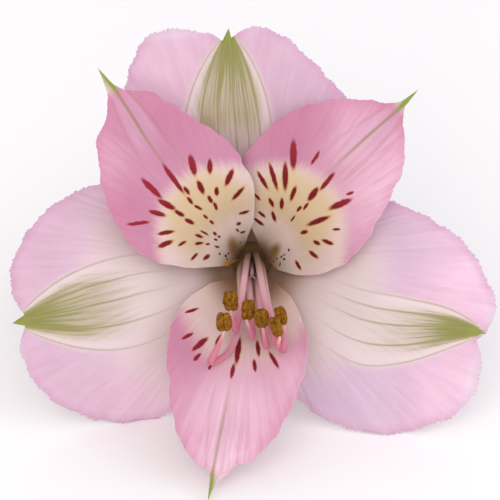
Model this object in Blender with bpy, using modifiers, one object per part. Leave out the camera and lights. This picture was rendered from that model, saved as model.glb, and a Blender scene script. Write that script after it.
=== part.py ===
# Alstroemeria flower on its cut stalk, lying on a surface with its face turned up.
#
# Metres, +Z up. The stalk lies along +Y and the flower faces -Y. The flower itself is drawn in
# millimetres in the frame of its own face: x to the right and y up across the open face, z out
# of the throat towards someone who looks into it, and 0, 0 at the middle of the throat.

import math

import bpy
import bmesh
from mathutils import Euler, Matrix, Vector

MM = 0.001

# Where the flower lies
FACE_TILT = math.radians(35.0)
THROAT_PLACE = (-0.2, -30.15, 24.7)

# Petals. All six stand in one ring on the ovary, 60 degrees apart, and open like a funnel.
PETAL_THICKNESS = 0.4
TUBE_DEPTH = 24.0
CLAW_HALF_WIDTH = 1.05
CLAW_LENGTH = 2.2
SIDE_REACH = 20.0
FACE_REACH = 36.0
PETAL_ROWS = 9

# Clearance between pieces that touch on the real flower
GAP = 0.3

# Stamens and style. The bundle is level with the claws' ends at BUNDLE_TOP and has begun to fan
# out at FAN_FROM, both heights in the face's frame.
FILAMENT_RADIUS = 0.46
BUNDLE_RADIUS = 1.25
BUNDLE_TOP = -17.0
FAN_FROM = -11.0
ANTHER_THICKNESS = 1.5
ANTHER_PITCH = math.radians(25.0)
STYLE_RADIUS = 0.4
STYLE_LENGTH = 14.5

# Ovary and stalk
OVARY_LENGTH = 8.0
OVARY_RADIUS = 3.7
STALK_RADIUS = 1.2
STALK_BEND_RADIUS = 17.0
STALK_LENGTH = 62.0
STALK_BOW = 1.5

# Colours, linear
PINK = (0.76, 0.47, 0.66)
DEEP_PINK = (0.70, 0.27, 0.42)
FILAMENT_PINK = (0.66, 0.25, 0.33)
POLLEN_BROWN = (0.38, 0.16, 0.02)
LEAF_GREEN = (0.20, 0.30, 0.06)
STYLE_PINK = (0.70, 0.45, 0.48)

# Each petal's outline is a few points across the face, in mm: its tip, then the points met on
# the way round anticlockwise and clockwise from it, down to where the side turns to the claw.
# claw is the claw's direction round the throat in degrees and claw_radius its distance from the
# middle. rise and spread shape the funnel, fall is how far each side bends back 20 mm from the
# midrib, tip_fall how far the end does, and set_back sinks the whole blade under its neighbour.
OUTER = dict(claw_radius=3.2, rise=25.0, spread=8.0, tip_fall=1.5, set_back=0.0, colour=PINK)
INNER = dict(claw_radius=2.3, rise=31.0, spread=9.0, tip_fall=0.5, set_back=0.0, colour=DEEP_PINK)

PETALS = {
    "outer_tepal_top": dict(
        OUTER,
        claw=90.0,
        fall=(3.0, 3.0),
        tip=(-3.5, 35.0),
        anticlockwise=[
            (-4.5, 33.0), (-6.8, 34.4), (-12.6, 35.0), (-16.4, 33.2),
            (-18.8, 27.5), (-19.8, 21.0), (-16.5, 13.5),
        ],
        clockwise=[
            (-2.9, 34.1), (1.8, 35.3), (5.4, 33.5), (10.4, 28.8),
            (14.7, 23.6), (15.2, 18.5), (12.0, 11.5),
        ],
    ),
    "outer_tepal_left": dict(
        OUTER,
        claw=210.0,
        fall=(8.6, 3.0),
        tip=(-35.9, -9.2),
        anticlockwise=[
            (-34.1, -9.8), (-34.8, -12.9), (-33.3, -17.1), (-30.2, -20.7), (-26.4, -22.8),
            (-21.0, -24.2), (-15.0, -23.9), (-9.3, -20.0), (-6.5, -14.5),
        ],
        clockwise=[
            (-34.1, -7.7), (-35.4, -6.0), (-36.3, -1.8), (-33.8, 4.4), (-28.8, 9.3),
            (-22.4, 11.9), (-17.0, 11.5), (-11.5, 8.2),
        ],
    ),
    "outer_tepal_right": dict(
        OUTER,
        claw=330.0,
        fall=(3.0, 5.7),
        tip=(35.0, -10.7),
        anticlockwise=[
            (36.1, -8.9), (36.7, -6.2), (35.3, -2.7), (32.3, 2.4), (27.3, 6.2),
            (20.6, 9.2), (15.5, 8.8), (11.0, 6.0),
        ],
        clockwise=[
            (33.6, -11.7), (34.5, -14.7), (33.9, -18.8), (30.9, -22.7), (26.6, -24.5),
            (20.3, -26.0), (12.2, -24.2), (6.5, -20.3), (3.8, -14.5),
        ],
    ),
    "inner_tepal_left": dict(
        INNER,
        claw=150.0,
        fall=(1.5, 0.0),
        set_back=-2.0,
        tip=(-22.8, 29.0),
        anticlockwise=[
            (-21.6, 25.2), (-21.6, 21.3), (-23.0, 18.5), (-22.5, 12.5), (-21.4, 8.3),
            (-18.9, 3.5), (-15.6, 0.6), (-10.5, -0.8), (-5.4, -0.5),
        ],
        clockwise=[
            (-20.7, 26.3), (-17.6, 25.5), (-14.4, 24.9), (-7.7, 20.7), (-3.3, 17.7),
            (0.0, 12.3), (0.5, 9.5), (0.2, 6.3),
        ],
    ),
    "inner_tepal_right": dict(
        INNER,
        claw=30.0,
        fall=(0.0, 1.5),
        set_back=0.3,
        tip=(24.8, 25.7),
        anticlockwise=[
            (21.8, 23.7), (17.7, 24.0), (14.1, 24.3), (8.3, 23.4), (2.9, 20.1),
            (-0.3, 16.4), (-0.8, 11.5), (-0.2, 7.0),
        ],
        clockwise=[
            (22.5, 22.5), (22.6, 18.8), (22.6, 14.3), (20.0, 8.4), (16.2, 2.0),
            (11.7, -1.4), (6.9, -2.0), (4.0, -1.2),
        ],
    ),
    "inner_tepal_lower": dict(
        INNER,
        claw=270.0,
        rise=33.5,
        fall=(1.0, 1.0),
        tip=(-6.7, -35.6),
        anticlockwise=[
            (-5.0, -32.4), (-3.2, -30.6), (0.6, -29.0), (4.2, -24.8), (7.4, -17.7),
            (8.3, -11.6), (6.2, -5.9), (3.6, -3.2),
        ],
        clockwise=[
            (-6.2, -31.7), (-9.8, -28.1), (-11.9, -22.5), (-12.3, -18.0), (-12.6, -12.0),
            (-10.4, -6.3), (-6.4, -3.3),
        ],
    ),
}

# Each stamen: where its filament stands in the ring around the style, the lowest point of its
# hook (x, y, z), then its anther's middle (x, y, z), length, width and lean from upright. aside
# says how much of the way sideways to its hook it has come at two places above the hook, and dip
# how far it hangs there below an even curve.
STAMENS = [
    dict(ring=120.0, hook=(-2.4, -10.4, 0.9), aside=(0.50, 0.86), dip=-0.5,
         anther=(-3.2, -5.8, 4.6), size=(3.1, 2.2), lean=4.0),
    dict(ring=180.0, hook=(-6.1, -15.0, 4.4), aside=(0.08, 0.42), dip=2.5,
         anther=(-4.2, -8.9, 7.4), size=(2.9, 2.3), lean=0.0),
    dict(ring=240.0, hook=(0.1, -11.2, 0.9), aside=(0.60, 0.90), dip=0.0,
         anther=(-0.6, -7.1, 4.6), size=(3.1, 1.9), lean=-6.0),
    dict(ring=300.0, hook=(2.1, -12.6, 1.6), aside=(0.45, 0.80), dip=0.0,
         anther=(1.4, -8.4, 5.3), size=(2.9, 2.1), lean=8.0),
    dict(ring=0.0, hook=(4.6, -13.2, 2.2), aside=(0.40, 0.80), dip=0.0,
         anther=(4.3, -8.0, 5.6), size=(2.9, 1.6), lean=18.0),
    dict(ring=60.0, hook=(3.8, -12.6, 4.8), aside=(0.45, 0.82), dip=-0.3,
         anther=(3.6, -9.6, 7.9), size=(3.2, 1.6), lean=18.0),
]


def clear_scene():
    """Remove whatever the scene holds."""
    for obj in list(bpy.data.objects):
        bpy.data.objects.remove(obj, do_unlink=True)


def new_material(name, colour, roughness):
    """A plain Principled material."""
    material = bpy.data.materials.new(name)
    material.use_nodes = True
    shader = material.node_tree.nodes["Principled BSDF"]
    shader.inputs["Base Color"].default_value = (*colour, 1.0)
    shader.inputs["Roughness"].default_value = roughness
    shader.inputs["Metallic"].default_value = 0.0
    return material


def add_piece(name, data, material, parent):
    """Put a mesh or curve into the flower's collection under its own name."""
    piece = bpy.data.objects.new(name, data)
    data.materials.append(material)
    bpy.data.collections["alstroemeria_stem"].objects.link(piece)
    piece.parent = parent
    return piece


def smooth_route(points, steps):
    """A Catmull-Rom curve through the points, with the given number of steps between two."""
    points = [Vector(p) for p in points]
    padded = [2 * points[0] - points[1], *points, 2 * points[-1] - points[-2]]
    route = []
    for a, b, c, d in zip(padded, padded[1:], padded[2:], padded[3:]):
        for step in range(steps):
            t = step / steps
            route.append(
                0.5 * (2 * b + (c - a) * t + (2 * a - 5 * b + 4 * c - d) * t**2
                       + (3 * b - a - 3 * c + d) * t**3)
            )
    route.append(points[-1])
    return route


def petal_height(petal, x, y):
    """Height of a petal over the face at x, y: the funnel, less what its sides and end fall back."""
    radius = math.hypot(x, y)
    out = radius - petal["claw_radius"]
    funnel = petal["rise"] * (1 - math.exp(-out / petal["spread"]))
    sink = petal["set_back"] * (1 - math.exp(-out / 1.5))
    tip = Vector(petal["tip"]).normalized()
    across = tip.x * y - tip.y * x
    side_fall = petal["fall"][0 if across > 0 else 1] * (across / SIDE_REACH) ** 2
    end_fall = petal["tip_fall"] * (radius / FACE_REACH) ** 4
    return funnel - sink - side_fall - end_fall - TUBE_DEPTH


def petal_column(petal, place, edge):
    """The line from the claw to one point of the outline. place runs -1 to 1 across the claw."""
    start_radius = petal["claw_radius"]
    start_angle = math.radians(petal["claw"]) + place * CLAW_HALF_WIDTH / start_radius
    end_radius = math.hypot(*edge)
    turn = math.remainder(math.atan2(edge[1], edge[0]) - start_angle, math.tau)
    whole = 1 - math.exp(-(end_radius - start_radius) / CLAW_LENGTH)
    column = []
    for row in range(PETAL_ROWS + 1):
        radius = start_radius + (end_radius - start_radius) * (row / PETAL_ROWS) ** 1.5
        opened = (1 - math.exp(-(radius - start_radius) / CLAW_LENGTH)) / whole
        angle = start_angle + turn * opened
        x = radius * math.cos(angle)
        y = radius * math.sin(angle)
        column.append((x * MM, y * MM, petal_height(petal, x, y) * MM))
    return column


def make_petal(name, petal, parent):
    """A curved sheet on a grid of columns from claw to edge, given its thickness by Solidify."""
    outline = [*reversed(petal["clockwise"]), petal["tip"], *petal["anticlockwise"]]
    tip_at = len(petal["clockwise"])
    shape = bmesh.new()
    columns = []
    for index, edge in enumerate(outline):
        side = tip_at if index < tip_at else len(outline) - 1 - tip_at
        place = (index - tip_at) / side
        columns.append([shape.verts.new(p) for p in petal_column(petal, place, edge)])
    for left, right in zip(columns, columns[1:]):
        for row in range(PETAL_ROWS):
            shape.faces.new((left[row], left[row + 1], right[row + 1], right[row]))
    bmesh.ops.recalc_face_normals(shape, faces=shape.faces)
    mesh = bpy.data.meshes.new(name)
    shape.to_mesh(mesh)
    shape.free()
    mesh.shade_smooth()
    piece = add_piece(name, mesh, new_material(name, petal["colour"], 0.55), parent)
    wall = piece.modifiers.new("Wall", "SOLIDIFY")
    wall.thickness = PETAL_THICKNESS * MM
    wall.offset = 0.0


def make_tube(name, route, radius, sides, material, parent):
    """A round stalk along a route in mm, closed at both ends."""
    curve = bpy.data.curves.new(name, "CURVE")
    curve.dimensions = "3D"
    curve.bevel_depth = radius * MM
    curve.bevel_resolution = sides
    curve.use_fill_caps = True
    spline = curve.splines.new("POLY")
    spline.points.add(len(route) - 1)
    for point, place in zip(spline.points, route):
        point.co = (*(Vector(place) * MM), 1.0)
    return add_piece(name, curve, material, parent)


def anther_direction(stamen):
    """The way an anther points: up across the face, leaning sideways, and out of the throat."""
    lean = math.radians(stamen["lean"])
    flat = math.cos(ANTHER_PITCH)
    return Vector((-math.sin(lean) * flat, math.cos(lean) * flat, math.sin(ANTHER_PITCH)))


def make_anther(name, stamen, material, parent):
    """An open pollen head: a flattened egg, with its foot at the filament's end."""
    length, width = stamen["size"]
    mesh = bpy.data.meshes.new(name)
    shape = bmesh.new()
    bmesh.ops.create_uvsphere(shape, u_segments=10, v_segments=8, radius=0.5)
    size = Matrix.Diagonal((width * MM, ANTHER_THICKNESS * MM, length * MM, 1.0))
    bmesh.ops.transform(shape, matrix=size, verts=shape.verts)
    shape.to_mesh(mesh)
    shape.free()
    mesh.shade_smooth()
    piece = add_piece(name, mesh, material, parent)
    piece.location = Vector(stamen["anther"]) * MM
    piece.rotation_euler = anther_direction(stamen).to_track_quat("Z", "Y").to_euler()
    return piece


def filament_route(stamen):
    """From the ovary up through the throat in the bundle, fanning down, and hooked back up."""
    ring = math.radians(stamen["ring"])
    start = Vector((BUNDLE_RADIUS * math.cos(ring), BUNDLE_RADIUS * math.sin(ring), 0))
    hook = Vector(stamen["hook"])
    foot = Vector(stamen["anther"]) - anther_direction(stamen) * (stamen["size"][0] / 2 + GAP)
    fan_x = hook.x - start.x
    fan_y = hook.y - start.y
    early, late = stamen["aside"]
    dip = stamen["dip"]
    base = start + Vector((0, 0, -TUBE_DEPTH - 0.1))
    return smooth_route(
        [
            base,
            start + Vector((0, -0.2, BUNDLE_TOP)),
            start + Vector((fan_x * 0.12, fan_y * 0.12, FAN_FROM)),
            start + Vector((fan_x * early, fan_y * 0.55, hook.z - 4.6 - dip)),
            start + Vector((fan_x * late, fan_y * 0.88, hook.z - 1.5 - dip * 0.5)),
            hook,
            hook.lerp(foot, 0.45) + Vector((0, 0, 0.35)),
            foot,
        ],
        2,
    )


def make_stamens(parent):
    """Six filaments, each with its anther."""
    pink = new_material("filament", FILAMENT_PINK, 0.5)
    brown = new_material("anther", POLLEN_BROWN, 0.8)
    for number, stamen in enumerate(STAMENS, start=1):
        make_tube(f"filament_{number}", filament_route(stamen), FILAMENT_RADIUS, 2, pink, parent)
        make_anther(f"anther_{number}", stamen, brown, parent)


def make_style(parent):
    """The thin column in the middle of the bundle, still short on a flower that sheds pollen."""
    bottom = -TUBE_DEPTH - 0.1
    route = smooth_route(
        [
            (0, 0, bottom),
            (0, -0.2, bottom + STYLE_LENGTH * 0.5),
            (0, -1.15, bottom + STYLE_LENGTH * 0.9),
            (0, -1.9, bottom + STYLE_LENGTH),
        ],
        3,
    )
    make_tube("style", route, STYLE_RADIUS, 2, new_material("style", STYLE_PINK, 0.5), parent)


def make_ovary(parent):
    """A turned knob under the petals, widest near its top and drawn in to the stalk."""
    top = -TUBE_DEPTH - 0.45
    share_of_radius_and_length = [
        (0.0, 0.0), (0.88, 0.0), (0.98, 0.1), (1.0, 0.28), (0.95, 0.5),
        (0.8, 0.72), (0.58, 0.9), (0.4, 1.0), (0.0, 1.0),
    ]
    shape = bmesh.new()
    profile = [
        shape.verts.new((r * OVARY_RADIUS * MM, 0.0, (top - d * OVARY_LENGTH) * MM))
        for r, d in share_of_radius_and_length
    ]
    for upper, lower in zip(profile, profile[1:]):
        shape.edges.new((upper, lower))
    mesh = bpy.data.meshes.new("ovary")
    shape.to_mesh(mesh)
    shape.free()
    piece = add_piece("ovary", mesh, new_material("ovary", LEAF_GREEN, 0.5), parent)
    turn = piece.modifiers.new("Turn", "SCREW")
    turn.steps = 16
    turn.render_steps = 16
    turn.use_merge_vertices = True
    turn.merge_threshold = 0.00001
    turn.use_smooth_shade = True


def make_stalk(face):
    """The cut stalk: it leaves the ovary in line with it, bends level and lies on the surface."""
    joint = face @ Vector((0, 0, (-TUBE_DEPTH - 0.45 - OVARY_LENGTH - GAP) * MM)) / MM
    drop = STALK_BEND_RADIUS * (1 - math.cos(FACE_TILT))
    slope_length = max(joint.z - STALK_RADIUS - drop, 0.0) / math.sin(FACE_TILT)
    heading = Vector((0, math.cos(FACE_TILT), -math.sin(FACE_TILT)))
    route = [joint]
    bend_from = joint + heading * slope_length
    for step in range(7):
        angle = FACE_TILT * (1 - step / 6)
        route.append(
            bend_from + STALK_BEND_RADIUS * Vector((
                0,
                math.sin(FACE_TILT) - math.sin(angle),
                math.cos(FACE_TILT) - math.cos(angle),
            ))
        )
    flat_from = route[-1].copy()
    flat_length = STALK_LENGTH - slope_length - STALK_BEND_RADIUS * FACE_TILT
    for step in range(1, 8):
        share = step / 7
        route.append(flat_from + Vector((
            STALK_BOW * (1 - math.cos(math.pi * share)) / 2, flat_length * share, 0
        )))
    make_tube("stem", route, STALK_RADIUS, 3, new_material("stem", LEAF_GREEN, 0.45), None)


def build():
    clear_scene()
    collection = bpy.data.collections.new("alstroemeria_stem")
    bpy.context.scene.collection.children.link(collection)
    face = bpy.data.objects.new("flower_face", None)
    collection.objects.link(face)
    face.location = Vector(THROAT_PLACE) * MM
    face.rotation_euler = Euler((math.pi / 2 - FACE_TILT, 0, 0))
    bpy.context.view_layer.update()
    for name, petal in PETALS.items():
        make_petal(name, petal, face)
    make_stamens(face)
    make_style(face)
    make_ovary(face)
    make_stalk(face.matrix_world)


build()
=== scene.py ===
# Alstroemeria flower lying on its cut stalk, its open face turned up towards the camera.
# Shapes are worked out in millimetres in the frame of the flower's face: x to the right and
# y up across the open face, z out of the throat, and 0, 0, 0 at the middle of the throat.

import math
from functools import partial

import bpy
import numpy as np
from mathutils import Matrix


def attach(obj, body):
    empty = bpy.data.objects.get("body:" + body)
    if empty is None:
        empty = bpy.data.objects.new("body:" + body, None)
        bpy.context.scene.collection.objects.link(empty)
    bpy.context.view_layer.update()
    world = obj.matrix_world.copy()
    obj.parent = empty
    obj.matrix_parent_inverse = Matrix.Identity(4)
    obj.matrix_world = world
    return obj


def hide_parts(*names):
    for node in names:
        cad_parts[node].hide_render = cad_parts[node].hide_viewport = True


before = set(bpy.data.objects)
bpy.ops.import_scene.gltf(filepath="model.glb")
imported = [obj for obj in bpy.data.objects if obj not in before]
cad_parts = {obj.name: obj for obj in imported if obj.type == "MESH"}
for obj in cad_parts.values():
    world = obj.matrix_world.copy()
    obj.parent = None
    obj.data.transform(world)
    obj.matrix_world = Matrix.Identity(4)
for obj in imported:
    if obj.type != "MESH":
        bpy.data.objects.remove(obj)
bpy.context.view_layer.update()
print("frame loaded:", len(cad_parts), "nodes")

mm = 0.001

flowerFace = dict(
    turnedUp=35,                  # degrees that the face leans back from upright
    throat=(-0.2, -30.15, 24.7),  # middle of the throat over the floor, mm
    tubeDepth=24,                 # from the throat down to the ovary, mm
)
faceTurn = math.radians(90 - flowerFace["turnedUp"])


# Face to world: turned about x until the face leans back, then moved to the throat's place
def faceToWorld(points):
    x, y, z = np.moveaxis(np.asarray(points, float), -1, 0)
    throatX, throatY, throatZ = flowerFace["throat"]
    c, s = math.cos(faceTurn), math.sin(faceTurn)
    return np.stack([x + throatX, y * c - z * s + throatY, y * s + z * c + throatZ], axis=-1) * mm


# 0 before start and 1 after end, with a smooth slope between: 3 t squared minus 2 t cubed
def smoothStep(start, end, value):
    t = np.clip((value - start) / (end - start), 0, 1)
    return t * t * (3 - 2 * t)


# Soft lumps about size mm apart: a sum of cosine waves that run in many random directions
def lumps(points, size, seed, waves=24):
    chance = np.random.default_rng(seed)
    ways = chance.normal(size=(waves, points.shape[-1]))
    ways *= 2 * math.pi / size / np.linalg.norm(ways, axis=1, keepdims=True)
    ways *= chance.uniform(0.6, 1.4, (waves, 1))
    return np.cos(points @ ways.T + chance.uniform(0, 2 * math.pi, waves)).sum(-1) / math.sqrt(waves)


def unit(vectors):
    return vectors / np.maximum(np.linalg.norm(vectors, axis=-1, keepdims=True), 1e-9)


# Catmull-Rom curve: a cubic between each two points, whose slope at a point is half the step
# from the point before it to the point after it
def smoothCurve(points, steps=24):
    p = np.asarray(points, float)
    p = np.vstack([2 * p[0] - p[1], p, 2 * p[-1] - p[-2]])
    a, b, c, d = p[:-3], p[1:-2], p[2:-1], p[3:]
    t = np.arange(steps)[:, None, None] / steps
    curve = 2 * b + (c - a) * t + (2 * a - 5 * b + 4 * c - d) * t**2 + (3 * b - a - 3 * c + d) * t**3
    return np.vstack([(curve / 2).transpose(1, 0, 2).reshape(-1, p.shape[1]), p[-2]])


# The same curve with count points at even steps along its length, and their places along it
def evenly(curve, count):
    length = np.concatenate([[0], np.cumsum(np.linalg.norm(np.diff(curve, axis=0), axis=1))])
    at = np.linspace(0, length[-1], count)
    return np.stack([np.interp(at, length, c) for c in curve.T], axis=-1), at


# Four-sided faces between the neighbours of a grid of vertex numbers
def gridFaces(numbers):
    corners = numbers[:-1, :-1], numbers[1:, :-1], numbers[1:, 1:], numbers[:-1, 1:]
    return np.stack(corners, axis=-1).reshape(-1, 4)


# A sheet with a front and a back grid, joined round its border by a rim rounded outwards
def closedSheet(front, back, roundness=0.45):
    rows, columns = front.shape[:2]
    numbers = np.arange(rows * columns).reshape(rows, columns)
    middle = (front + back) / 2
    outward = np.zeros_like(middle)
    outward[0] += unit(middle[0] - middle[1])
    outward[-1] += unit(middle[-1] - middle[-2])
    outward[:, 0] += unit(middle[:, 0] - middle[:, 1])
    outward[:, -1] += unit(middle[:, -1] - middle[:, -2])
    thick = np.linalg.norm(front - back, axis=-1, keepdims=True)
    rim = middle + unit(outward) * thick * roundness
    border = np.concatenate([numbers[0, :-1], numbers[:-1, -1], numbers[-1, :0:-1], numbers[:0:-1, 0]])
    loop = np.append(border, border[0])
    rimNumbers = 2 * rows * columns + np.append(np.arange(len(border)), 0)
    backLoop = loop + rows * columns
    rimFaces = [
        np.stack([loop[:-1], loop[1:], rimNumbers[1:], rimNumbers[:-1]], axis=-1),
        np.stack([rimNumbers[:-1], rimNumbers[1:], backLoop[1:], backLoop[:-1]], axis=-1),
    ]
    frontFaces = gridFaces(numbers)
    faces = np.vstack([frontFaces, frontFaces[:, ::-1] + rows * columns, *rimFaces])
    points = np.vstack([front.reshape(-1, 3), back.reshape(-1, 3), rim.reshape(-1, 3)[border]])
    return points, faces.tolist(), border


# Rings of points along a body, each ring turning anticlockwise as seen from the far end,
# closed by a fan of triangles round a middle point at both ends
def closedRings(rings):
    rows, sides = rings.shape[:2]
    numbers = np.arange(rows * sides).reshape(rows, sides)
    numbers = np.hstack([numbers, numbers[:, :1]])
    start, end = rows * sides, rows * sides + 1
    faces = gridFaces(numbers)[:, ::-1].tolist()
    faces += [(start, b, a) for a, b in zip(numbers[0, :-1].tolist(), numbers[0, 1:].tolist())]
    faces += [(end, a, b) for a, b in zip(numbers[-1, :-1].tolist(), numbers[-1, 1:].tolist())]
    points = np.vstack([rings.reshape(-1, 3), rings[0].mean(0), rings[-1].mean(0)])
    return points, faces


# The angles of points spaced evenly round a ring
def evenTurn(sides):
    return np.linspace(0, 2 * math.pi, sides, endpoint=False)


# Rings round a route: the two cross directions follow from the route's own and the x axis
def ringsAlong(route, radius, sides):
    forward = unit(np.gradient(route, axis=0))
    first = unit(np.cross((1, 0, 0), forward))
    second = np.cross(forward, first)
    turn = evenTurn(sides)[None, :, None]
    radius = np.broadcast_to(radius, (len(route), sides))[..., None]
    return route[:, None] + radius * (np.cos(turn) * first[:, None] + np.sin(turn) * second[:, None])


def joined(shapes):
    points, faces, count = [], [], 0
    for shapePoints, shapeFaces in shapes:
        faces += [tuple(number + count for number in face) for face in shapeFaces]
        points.append(shapePoints)
        count += len(shapePoints)
    return np.vstack(points), faces


# Shows a mesh in place of a node's plain solid. A field is three values a point for the materials.
def makePiece(name, points, faces, material, node, fields, sharpFrom=None):
    mesh = bpy.data.meshes.new(name)
    mesh.from_pydata(points.tolist(), [], faces)
    mesh.shade_smooth()
    if sharpFrom:
        mesh.set_sharp_from_angle(angle=math.radians(sharpFrom))
    for key, parts in fields.items():
        values = np.stack(np.broadcast_arrays(*parts), axis=-1).astype(np.float32)
        layer = mesh.attributes.new(key, "FLOAT_VECTOR", "POINT")
        layer.data.foreach_set("vector", values.ravel())
    mesh.materials.append(material)
    piece = bpy.data.objects.new(name, mesh)
    bpy.context.scene.collection.objects.link(piece)
    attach(piece, "root")
    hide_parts(node)


# sRGB hex to linear: the lower stretch over 12.92, the rest a power of 2.4
def colour(hexValue):
    shares = [int(hexValue[i:i + 2], 16) / 255 for i in (1, 3, 5)]
    linear = [s / 12.92 if s <= 0.04045 else ((s + 0.055) / 1.055) ** 2.4 for s in shares]
    return (*linear, 1)


# Adds a node with its settings and sockets, linked where a socket is given another node's output.
# It gives back one output, or all of them where out is None.
def addNode(tree, kind, sockets=None, out=0, **settings):
    made = tree.nodes.new("ShaderNode" + kind)
    for key, value in settings.items():
        setattr(made, key, value)
    for key, value in (sockets or {}).items():
        if isinstance(value, bpy.types.NodeSocket):
            tree.links.new(value, made.inputs[key])
        else:
            made.inputs[key].default_value = value
    if out is None or not len(made.outputs):
        return made.outputs
    return made.outputs[out]


def newMaterial(name):
    material = bpy.data.materials.new(name)
    material.use_nodes = True
    material.node_tree.nodes.clear()
    return material, partial(addNode, material.node_tree)


# Node settings: a range with soft ends, a product, a product with a sum, and a scale at which
# depth counts for nothing
eased = dict(interpolation_type="SMOOTHSTEP")
times, timesPlus = dict(operation="MULTIPLY"), dict(operation="MULTIPLY_ADD")
depthless = 1e3


# The three parts of a field that makePiece stored
def fieldParts(add, key):
    return add("SeparateXYZ", {0: add("Attribute", out="Vector", attribute_name=key)}, None)


# Tones laid over a first one, each as strong as its mask
def layered(add, first, layers):
    shown = colour(first)
    for mask, tone in layers:
        tone = tone if isinstance(tone, bpy.types.NodeSocket) else colour(tone)
        shown = add("Mix", {0: mask, 6: shown, 7: tone}, 2, data_type="RGBA")
    return shown


# Ends a material with its shader. bump is the strength and the height in mm that the height map
# gives, and inside how light spreads under the surface: its weight, its tint and its reach in mm.
def shaded(add, look, tone, height, invert=False):
    strength, relief = look["bump"]
    weight, tint, reach = look["inside"]
    bump = add("Bump", {"Strength": strength, "Distance": relief * mm, "Height": height}, invert=invert)
    shader = add("BsdfPrincipled", {
        "Base Color": tone, "Normal": bump, "Roughness": look["roughness"], "IOR": look["ior"],
        "Specular IOR Level": look["specular"], "Subsurface Weight": weight, "Subsurface Radius": tint,
        "Subsurface Scale": reach * mm,
    })
    add("OutputMaterial", {"Surface": shader})


# How far a place is from the middle of a long oval, where 1 is the oval's edge
def ovalReach(add, place, x, y, length, width, direction):
    inOval = add("Mapping", {
        0: place, 1: (x, y, 0), 2: (0, 0, math.radians(direction)), 3: (length / 2, width / 2, depthless),
    }, vector_type="TEXTURE")
    return add("VectorMath", {0: inOval}, 1, operation="LENGTH")


# Camera, floor and lights

studio = dict(
    aim=(-0.3, 1.8),  # point of the face at the middle of the picture, mm
    distance=900,     # a far camera, so that the face shows without perspective
    viewWidth=75,     # width of the picture at the face, mm
    sensor=36,
    floorSize=12,     # metres
    floorColour="#fdfcfb",
    floorRoughness=0.9,
    skyColour="#fbfaff",
    skyStrength=0.72,
    key=dict(place=(-0.15, -0.77, 0.63), size=0.7, power=3.9, tone="#fffaf2"),
    fill=dict(place=(0.6, -0.35, 0.55), size=0.8, power=1.7, tone="#f6f6ff"),
    rear=dict(place=(0.15, 0.85, 0.5), size=0.8, power=1.2, tone="#fbfaff"),
)


def makeStudio():
    scene = bpy.context.scene
    scene.view_settings.view_transform = "Standard"
    camera = bpy.data.objects.new("camera", bpy.data.cameras.new("camera"))
    scene.collection.objects.link(camera)
    camera.data.sensor_width = studio["sensor"]
    camera.data.lens = studio["sensor"] * studio["distance"] / studio["viewWidth"]
    camera.location = faceToWorld((*studio["aim"], studio["distance"]))
    camera.rotation_euler = (faceTurn, 0, 0)
    scene.camera = camera

    half = studio["floorSize"] / 2
    corners = [(-half, -half, 0), (half, -half, 0), (half, half, 0), (-half, half, 0)]
    mesh = bpy.data.meshes.new("floor")
    mesh.from_pydata(corners, [], [(0, 1, 2, 3)])
    material, add = newMaterial("matte paper sweep")
    shader = add("BsdfPrincipled", {
        "Base Color": colour(studio["floorColour"]), "Roughness": studio["floorRoughness"]})
    add("OutputMaterial", {"Surface": shader})
    mesh.materials.append(material)
    floor = bpy.data.objects.new("floor", mesh)
    scene.collection.objects.link(floor)

    world = bpy.data.worlds.new("studio")
    world.use_nodes = True
    sky = world.node_tree.nodes["Background"]
    sky.inputs["Color"].default_value = colour(studio["skyColour"])
    sky.inputs["Strength"].default_value = studio["skyStrength"]
    scene.world = world
    for name in ("key", "fill", "rear"):
        lamp = studio[name]
        light = bpy.data.lights.new(name, "AREA")
        light.size = lamp["size"]
        light.energy = lamp["power"]
        light.color = colour(lamp["tone"])[:3]
        holder = bpy.data.objects.new(name, light)
        x, y, z = lamp["place"]
        holder.location = lamp["place"]
        holder.rotation_euler = (math.atan2(math.hypot(x, y), z), 0, math.atan2(x, -y))
        scene.collection.objects.link(holder)


makeStudio()
print("studio ready")


# Petals

# Lengths are in mm. rowCrowding over 1 sets the rows closer near the claw. clawLength and
# setBackReach are how soon the claw opens and the blade is set back, sideReach and faceReach
# where fall and tipFall are measured, and tipEnd the share of the midrib where measures stop.
# The keel is behind the midrib, the point is the green tip, and floorGaps are the least heights
# of front, back and rim, so that a petal lies flat. Teeth begin and are full at noTeeth from the
# tip and from the claw. The second ruffle pitch is that of the ruffles' swelling.
petalForm = dict(
    rows=56, rowCrowding=1.35, leastStep=0.08, clawHalfWidth=1.05, clawLength=2.2, setBackReach=1.5,
    sideReach=20, faceReach=36, tipEnd=0.9995, floorGaps=(0.14, 0.03, 0.02),
    marginThickness=0.2, middleThickness=0.4, keelThickness=0.3, pointThickness=0.25,
    toothPitch=(0.35, 1.05), toothCount=320, toothStart=-110, noTeeth=((2.5, 5), (2, 9)),
    scallopPitches=(5.3, 3.1), wavePitch=13, rufflePitches=(6.7, 17), ruffleReach=2.6,
    channelReach=1.3, ribHeight=0.05, pleatHeight=0.02, pleatPitch=1.7, stray=0.05, strayPitch=8,
)

outerForm = dict(
    slot="outer_petal", columns=620, clawRadius=3.2, rise=25, spread=8, tipFall=1.5, setBack=0,
    teeth=0.27, scallops=0.09, ruffle=0.28, waves=0.3, channel=0.22, notched=True,
    bow=0.5, veins=2, fillFrom=(0.3, 0.8), shade=(-9, -18),
)
innerForm = dict(
    slot="inner_petal", columns=420, clawRadius=2.3, rise=31, spread=9, tipFall=0.5, setBack=0,
    teeth=0.1, scallops=0.1, ruffle=0.2, waves=0.22, channel=0.32, notched=False,
    fan=(2.6, 2.6), veins=1, whiteEnd=(16.5, 13.5), soft=3.2, cream=0.9, shade=(-16.5, -23),
)

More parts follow.
